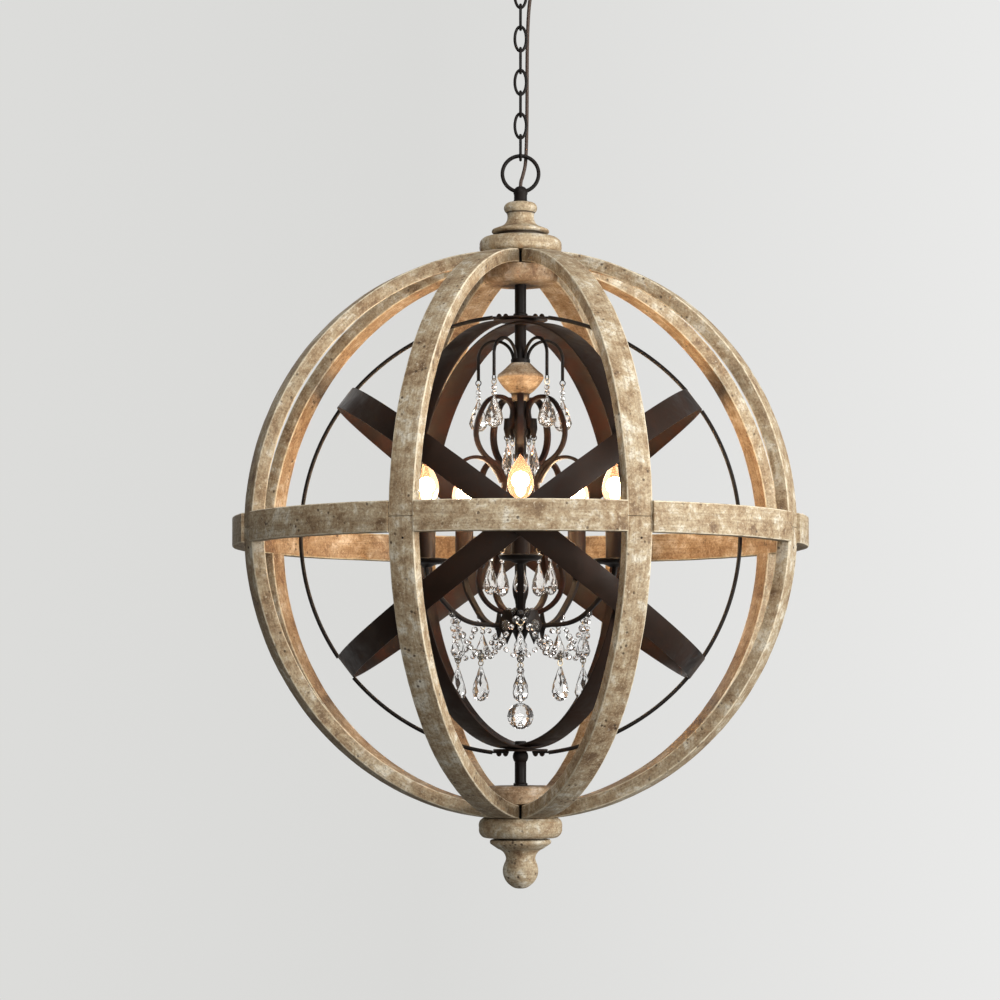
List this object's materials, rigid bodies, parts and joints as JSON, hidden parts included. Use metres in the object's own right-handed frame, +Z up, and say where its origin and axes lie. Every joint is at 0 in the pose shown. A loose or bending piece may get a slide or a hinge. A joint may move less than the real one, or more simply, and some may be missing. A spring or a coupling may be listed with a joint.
{
  "type": "orb chandelier",
  "caption": "Hanging chandelier: a wooden hoop sphere and an iron band cage round a stem with candle lights, scrolled straps and cut crystals, on a chain.",
  "frame": {"origin": "centre of the ceiling crossbar's top face, in the ceiling plane, straight above the orb", "axes": "+Z up along the chain and the stem, -Y towards the front candle light, +X to the right seen from the front"},
  "size_m": [0.6958, 0.6958, 1.1515],
  "materials": {
    "wood": "matte",
    "iron": "satin",
    "crystal": "gloss",
    "bulb_glass": "satin",
    "cord": "matte"
  },
  "bodies": {
    "canopy": {"ceiling_canopy": "iron", "ceiling_crossbar": "iron", "canopy_loop": "iron"},
    "chain": {"chain": "iron", "supply_cord": "cord"},
    "orb": {"bottom_finial": "wood", "bottom_inner_disc": "wood", "candle_arms": "iron", "candle_sleeves": "iron", "crystal_hanger": "iron", "crystal_swags": "crystal", "equator_hoop": "wood", "hanging_loop": "iron", "hub": "iron", "lower_stem": "iron", "lyre_straps": "iron", "meridian_bands": "iron", "pole_plates": "iron", "slanted_bands": "iron", "stem": "iron", "top_cap": "wood", "top_inner_disc": "wood", "wire_ring": "iron", "wood_hoop_1": "wood", "wood_hoop_2": "wood", "wood_hoop_3": "wood", "wood_hoop_4": "wood", "wood_vase": "wood"},
    "bulb_1": {"bulb_1": "bulb_glass"},
    "upper_drop_1": {"upper_drop_1": "crystal"},
    "leaf_drop_1": {"leaf_drop_1": "crystal"},
    "inner_drop_1": {"inner_drop_1": "crystal"},
    "arm_drop_1": {"arm_drop_1": "crystal"},
    "lower_drop_1": {"lower_drop_1": "crystal"},
    "bulb_2": {"bulb_2": "bulb_glass"},
    "upper_drop_2": {"upper_drop_2": "crystal"},
    "leaf_drop_2": {"leaf_drop_2": "crystal"},
    "inner_drop_2": {"inner_drop_2": "crystal"},
    "arm_drop_2": {"arm_drop_2": "crystal"},
    "lower_drop_2": {"lower_drop_2": "crystal"},
    "bulb_3": {"bulb_3": "bulb_glass"},
    "upper_drop_3": {"upper_drop_3": "crystal"},
    "leaf_drop_3": {"leaf_drop_3": "crystal"},
    "inner_drop_3": {"inner_drop_3": "crystal"},
    "arm_drop_3": {"arm_drop_3": "crystal"},
    "lower_drop_3": {"lower_drop_3": "crystal"},
    "bulb_4": {"bulb_4": "bulb_glass"},
    "upper_drop_4": {"upper_drop_4": "crystal"},
    "leaf_drop_4": {"leaf_drop_4": "crystal"},
    "inner_drop_4": {"inner_drop_4": "crystal"},
    "arm_drop_4": {"arm_drop_4": "crystal"},
    "lower_drop_4": {"lower_drop_4": "crystal"},
    "bulb_5": {"bulb_5": "bulb_glass"},
    "upper_drop_5": {"upper_drop_5": "crystal"},
    "leaf_drop_5": {"leaf_drop_5": "crystal"},
    "inner_drop_5": {"inner_drop_5": "crystal"},
    "arm_drop_5": {"arm_drop_5": "crystal"},
    "lower_drop_5": {"lower_drop_5": "crystal"},
    "crystal_ball": {"crystal_ball": "crystal"}
  },
  "joints": [
    {"name": "chain_swing", "type": "hinge", "parent": "canopy", "child": "chain", "pos_m": [0, 0, -0.053], "axis": [0, 1, 0], "range_deg": [-20, 20], "deforming": ["supply_cord"]},
    {"name": "orb_swing", "type": "hinge", "parent": "chain", "child": "orb", "pos_m": [0, 0, -0.262], "axis": [1, 0, 0], "range_deg": [-20, 20], "deforming": ["supply_cord"]},
    {"name": "bulb_1_turn", "type": "hinge", "parent": "orb", "child": "bulb_1", "pos_m": [0, -0.119, -0.6945], "axis": [0, 0, 1], "continuous": true},
    {"name": "bulb_2_turn", "type": "hinge", "parent": "orb", "child": "bulb_2", "pos_m": [0.11318, -0.03677, -0.6945], "axis": [0, 0, 1], "continuous": true},
    {"name": "bulb_3_turn", "type": "hinge", "parent": "orb", "child": "bulb_3", "pos_m": [0.06995, 0.09627, -0.6945], "axis": [0, 0, 1], "continuous": true},
    {"name": "bulb_4_turn", "type": "hinge", "parent": "orb", "child": "bulb_4", "pos_m": [-0.06995, 0.09627, -0.6945], "axis": [0, 0, 1], "continuous": true},
    {"name": "bulb_5_turn", "type": "hinge", "parent": "orb", "child": "bulb_5", "pos_m": [-0.11318, -0.03677, -0.6945], "axis": [0, 0, 1], "continuous": true},
    {"name": "upper_drop_1_swing", "type": "hinge", "parent": "orb", "child": "upper_drop_1", "pos_m": [0.03174, -0.04369, -0.5425], "axis": [0.5878, -0.809, 0], "range_deg": [-18, 18]},
    {"name": "leaf_drop_1_swing", "type": "hinge", "parent": "orb", "child": "leaf_drop_1", "pos_m": [0, -0.017, -0.6115], "axis": [0, -1, 0], "range_deg": [-12, 12]},
    {"name": "inner_drop_1_swing", "type": "hinge", "parent": "orb", "child": "inner_drop_1", "pos_m": [0, -0.038, -0.7405], "axis": [0, -1, 0], "range_deg": [-18, 18]},
    {"name": "arm_drop_1_swing", "type": "hinge", "parent": "orb", "child": "arm_drop_1", "pos_m": [0, -0.079, -0.833], "axis": [0, -1, 0], "range_deg": [-18, 18]},
    {"name": "lower_drop_1_swing", "type": "hinge", "parent": "orb", "child": "lower_drop_1", "pos_m": [0.04702, -0.06472, -0.8805], "axis": [0.5878, -0.809, 0], "range_deg": [-25, 25]},
    {"name": "upper_drop_2_swing", "type": "hinge", "parent": "orb", "child": "upper_drop_2", "pos_m": [0.05136, 0.01669, -0.5425], "axis": [0.9511, 0.309, 0], "range_deg": [-18, 18]},
    {"name": "leaf_drop_2_swing", "type": "hinge", "parent": "orb", "child": "leaf_drop_2", "pos_m": [0.01617, -0.00525, -0.6115], "axis": [0.9511, -0.309, 0], "range_deg": [-12, 12]},
    {"name": "inner_drop_2_swing", "type": "hinge", "parent": "orb", "child": "inner_drop_2", "pos_m": [0.03614, -0.01174, -0.7405], "axis": [0.9511, -0.309, 0], "range_deg": [-18, 18]},
    {"name": "arm_drop_2_swing", "type": "hinge", "parent": "orb", "child": "arm_drop_2", "pos_m": [0.07513, -0.02441, -0.833], "axis": [0.9511, -0.309, 0], "range_deg": [-18, 18]},
    {"name": "lower_drop_2_swing", "type": "hinge", "parent": "orb", "child": "lower_drop_2", "pos_m": [0.07608, 0.02472, -0.8805], "axis": [0.9511, 0.309, 0], "range_deg": [-25, 25]},
    {"name": "upper_drop_3_swing", "type": "hinge", "parent": "orb", "child": "upper_drop_3", "pos_m": [0, 0.054, -0.5425], "axis": [0, 1, 0], "range_deg": [-18, 18]},
    {"name": "leaf_drop_3_swing", "type": "hinge", "parent": "orb", "child": "leaf_drop_3", "pos_m": [0.00999, 0.01375, -0.6115], "axis": [0.5878, 0.809, 0], "range_deg": [-12, 12]},
    {"name": "inner_drop_3_swing", "type": "hinge", "parent": "orb", "child": "inner_drop_3", "pos_m": [0.02234, 0.03074, -0.7405], "axis": [0.5878, 0.809, 0], "range_deg": [-18, 18]},
    {"name": "arm_drop_3_swing", "type": "hinge", "parent": "orb", "child": "arm_drop_3", "pos_m": [0.04643, 0.06391, -0.833], "axis": [0.5878, 0.809, 0], "range_deg": [-18, 18]},
    {"name": "lower_drop_3_swing", "type": "hinge", "parent": "orb", "child": "lower_drop_3", "pos_m": [0, 0.08, -0.8805], "axis": [0, 1, 0], "range_deg": [-25, 25]},
    {"name": "upper_drop_4_swing", "type": "hinge", "parent": "orb", "child": "upper_drop_4", "pos_m": [-0.05136, 0.01669, -0.5425], "axis": [-0.9511, 0.309, 0], "range_deg": [-18, 18]},
    {"name": "leaf_drop_4_swing", "type": "hinge", "parent": "orb", "child": "leaf_drop_4", "pos_m": [-0.00999, 0.01375, -0.6115], "axis": [-0.5878, 0.809, 0], "range_deg": [-12, 12]},
    {"name": "inner_drop_4_swing", "type": "hinge", "parent": "orb", "child": "inner_drop_4", "pos_m": [-0.02234, 0.03074, -0.7405], "axis": [-0.5878, 0.809, 0], "range_deg": [-18, 18]},
    {"name": "arm_drop_4_swing", "type": "hinge", "parent": "orb", "child": "arm_drop_4", "pos_m": [-0.04643, 0.06391, -0.833], "axis": [-0.5878, 0.809, 0], "range_deg": [-18, 18]},
    {"name": "lower_drop_4_swing", "type": "hinge", "parent": "orb", "child": "lower_drop_4", "pos_m": [-0.07608, 0.02472, -0.8805], "axis": [-0.9511, 0.309, 0], "range_deg": [-25, 25]},
    {"name": "upper_drop_5_swing", "type": "hinge", "parent": "orb", "child": "upper_drop_5", "pos_m": [-0.03174, -0.04369, -0.5425], "axis": [-0.5878, -0.809, 0], "range_deg": [-18, 18]},
    {"name": "leaf_drop_5_swing", "type": "hinge", "parent": "orb", "child": "leaf_drop_5", "pos_m": [-0.01617, -0.00525, -0.6115], "axis": [-0.9511, -0.309, 0], "range_deg": [-12, 12]},
    {"name": "inner_drop_5_swing", "type": "hinge", "parent": "orb", "child": "inner_drop_5", "pos_m": [-0.03614, -0.01174, -0.7405], "axis": [-0.9511, -0.309, 0], "range_deg": [-18, 18]},
    {"name": "arm_drop_5_swing", "type": "hinge", "parent": "orb", "child": "arm_drop_5", "pos_m": [-0.07513, -0.02441, -0.833], "axis": [-0.9511, -0.309, 0], "range_deg": [-18, 18]},
    {"name": "lower_drop_5_swing", "type": "hinge", "parent": "orb", "child": "lower_drop_5", "pos_m": [-0.04702, -0.06472, -0.8805], "axis": [-0.5878, -0.809, 0], "range_deg": [-25, 25]},
    {"name": "crystal_ball_swing", "type": "hinge", "parent": "orb", "child": "crystal_ball", "pos_m": [0, 0, -0.8799], "axis": [1, 0, 0], "range_deg": [-20, 20]}
  ]
}
